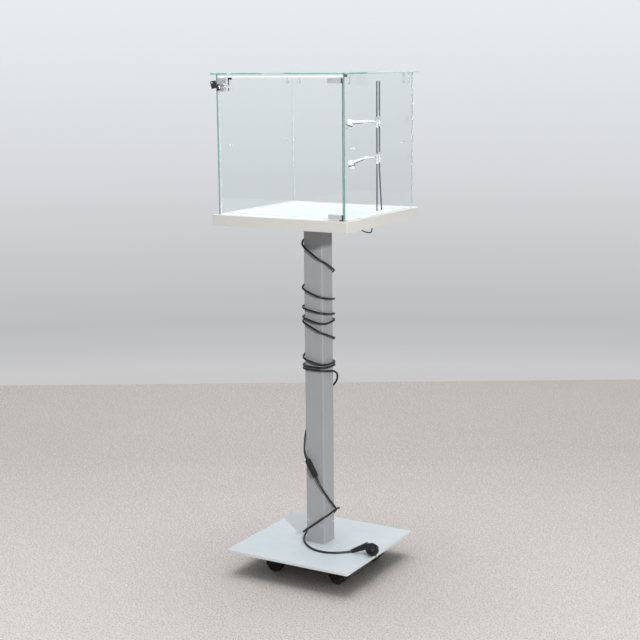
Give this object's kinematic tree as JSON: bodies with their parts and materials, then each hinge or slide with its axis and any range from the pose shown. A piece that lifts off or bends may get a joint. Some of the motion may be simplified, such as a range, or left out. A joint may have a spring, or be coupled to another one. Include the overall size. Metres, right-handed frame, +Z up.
{
  "type": "pedestal display case",
  "caption": "Glass display case with a hinged, lockable door and two spot lamps, on a square steel post and a castored base plate.",
  "frame": {"origin": "point on the floor under the middle of the post", "axes": "+Z up, the door faces -Y, the door's hinge side is +X"},
  "size_m": [0.4293, 0.4541, 1.439],
  "materials": {
    "plate_paint": "pale blue-grey, satin powder coat",
    "castor_steel": "plain steel",
    "zinc": "bright zinc",
    "castor_black": "black, satin",
    "wheel_black": "black, matte",
    "post_paint": "light grey, satin powder coat",
    "deck_white": "white laminated board, satin",
    "edging_beige": "light warm grey edging, satin",
    "glass": "clear float glass with a green-blue edge",
    "chrome": "polished chrome",
    "rail_white": "white, satin",
    "led_board": "white circuit strip with small lamps",
    "diffuser_white": "milky, translucent",
    "black_plastic": "black, satin",
    "screw_black": "blackened steel",
    "black_paint": "black, satin",
    "cylinder_steel": "nickel-plated",
    "rod_dark": "dark grey, satin",
    "lamp_white": "white, satin",
    "lamp_metal": "satin",
    "lens_glow": "frosted, lit",
    "cord_black": "black, satin",
    "slider_black": "black, satin",
    "nickel": "nickel-plated brass"
  },
  "bodies": {
    "stand": {"base_plate": "plate_paint", "castor_plates": "castor_steel", "base_screws": "zinc", "post_tube": "post_paint", "post_foot_block": "castor_steel", "head_flange": "post_paint", "deck_screws": "zinc", "deck_board": "deck_white", "deck_edging": "edging_beige", "glass_left": "glass", "glass_right": "glass", "glass_back": "glass", "glass_lid": "glass", "lid_clips": "chrome", "shelf_studs": "chrome", "header_rail": "rail_white", "strike_tab": "castor_steel", "led_strip": "led_board", "led_diffuser": "diffuser_white", "pivot_bushes": "black_plastic", "lamp_rods": "rod_dark", "rod_sockets": "lamp_white", "rod_terminals": "lamp_white", "driver_case": "black_plastic", "driver_gland": "black_plastic", "lamp_lead": "cord_black", "mains_lead_upper": "cord_black", "mains_winding": "cord_black", "mains_lead_middle": "cord_black", "mains_lead_lower": "cord_black", "inline_switch": "black_plastic", "plug_body": "black_plastic", "plug_pins": "nickel"},
    "door": {"door_glass": "glass", "hinge_clamps": "chrome", "hinge_end_caps": "black_plastic", "hinge_set_screws": "screw_black", "lock_body": "chrome", "lock_back_plate": "black_paint"},
    "lock_turn": {"lock_cylinder": "cylinder_steel", "lock_cam": "castor_steel", "key_blade": "cylinder_steel"},
    "key_fold_body": {"key_bow": "black_plastic"},
    "switch_knob": {"switch_slider": "slider_black"},
    "castor_1": {"castor_hood_1": "castor_black"},
    "wheels_1": {"castor_wheels_1": "wheel_black"},
    "castor_2": {"castor_hood_2": "castor_black"},
    "wheels_2": {"castor_wheels_2": "wheel_black"},
    "castor_3": {"castor_hood_3": "castor_black"},
    "wheels_3": {"castor_wheels_3": "wheel_black"},
    "castor_4": {"castor_hood_4": "castor_black"},
    "wheels_4": {"castor_wheels_4": "wheel_black"},
    "lamp_1_slider": {"lamp_slider_1": "lamp_metal"},
    "lamp_1_arm": {"lamp_arm_1": "lamp_white"},
    "lamp_1_head": {"lamp_head_1": "lamp_white", "lamp_lens_1": "lens_glow"},
    "lamp_2_slider": {"lamp_slider_2": "lamp_metal"},
    "lamp_2_arm": {"lamp_arm_2": "lamp_white"},
    "lamp_2_head": {"lamp_head_2": "lamp_white", "lamp_lens_2": "lens_glow"}
  },
  "joints": [
    {"name": "door_swing", "type": "hinge", "parent": "stand", "child": "door", "pos_m": [0.188, -0.196, 1.24], "axis": [0, 0, 1], "range_deg": [0, 100]},
    {"name": "key_turn", "type": "hinge", "parent": "door", "child": "lock_turn", "pos_m": [-0.171, -0.2, 1.4005], "axis": [0, 1, 0], "range_deg": [0, 90]},
    {"name": "key_fold", "type": "hinge", "parent": "lock_turn", "child": "key_fold_body", "pos_m": [-0.171, -0.228, 1.4005], "axis": [0.2079, 0, -0.9781], "range_deg": [-60, 25]},
    {"name": "castor_1_swivel", "type": "hinge", "parent": "stand", "child": "castor_1", "pos_m": [-0.105, -0.105, 0.058], "axis": [0, 0, 1], "continuous": true},
    {"name": "wheels_1_roll", "type": "hinge", "parent": "castor_1", "child": "wheels_1", "pos_m": [-0.089, -0.105, 0.021], "axis": [0, 1, 0], "continuous": true},
    {"name": "castor_2_swivel", "type": "hinge", "parent": "stand", "child": "castor_2", "pos_m": [0.105, -0.105, 0.058], "axis": [0, 0, 1], "continuous": true},
    {"name": "wheels_2_roll", "type": "hinge", "parent": "castor_2", "child": "wheels_2", "pos_m": [0.121, -0.105, 0.021], "axis": [0, 1, 0], "continuous": true},
    {"name": "castor_3_swivel", "type": "hinge", "parent": "stand", "child": "castor_3", "pos_m": [0.105, 0.105, 0.058], "axis": [0, 0, 1], "continuous": true},
    {"name": "wheels_3_roll", "type": "hinge", "parent": "castor_3", "child": "wheels_3", "pos_m": [0.121, 0.105, 0.021], "axis": [0, 1, 0], "continuous": true},
    {"name": "castor_4_swivel", "type": "hinge", "parent": "stand", "child": "castor_4", "pos_m": [-0.105, 0.105, 0.058], "axis": [0, 0, 1], "continuous": true},
    {"name": "wheels_4_roll", "type": "hinge", "parent": "castor_4", "child": "wheels_4", "pos_m": [-0.089, 0.105, 0.021], "axis": [0, 1, 0], "continuous": true},
    {"name": "lamp_1_slide", "type": "slide", "parent": "stand", "child": "lamp_1_slider", "axis": [0, 0, 1], "range_m": [-0.005, 0.06]},
    {"name": "lamp_1_elbow", "type": "hinge", "parent": "lamp_1_slider", "child": "lamp_1_arm", "pos_m": [0.144, 0.016, 1.303], "axis": [0, 1, 0], "range_deg": [-30, 45]},
    {"name": "lamp_1_tilt", "type": "hinge", "parent": "lamp_1_arm", "child": "lamp_1_head", "pos_m": [0.09412, 0.016, 1.29951], "axis": [0, 1, 0], "range_deg": [-20, 85]},
    {"name": "lamp_2_slide", "type": "slide", "parent": "stand", "child": "lamp_2_slider", "axis": [0, 0, 1], "range_m": [-0.018, 0.01]},
    {"name": "lamp_2_elbow", "type": "hinge", "parent": "lamp_2_slider", "child": "lamp_2_arm", "pos_m": [0.144, 0.016, 1.204], "axis": [0, 1, 0], "range_deg": [-45, 30]},
    {"name": "lamp_2_tilt", "type": "hinge", "parent": "lamp_2_arm", "child": "lamp_2_head", "pos_m": [0.09702, 0.016, 1.1869], "axis": [0, 1, 0], "range_deg": [-5, 85]},
    {"name": "switch_slide", "type": "slide", "parent": "stand", "child": "switch_knob", "axis": [0.5, 0, -0.866], "range_m": [0, 0.006]}
  ]
}
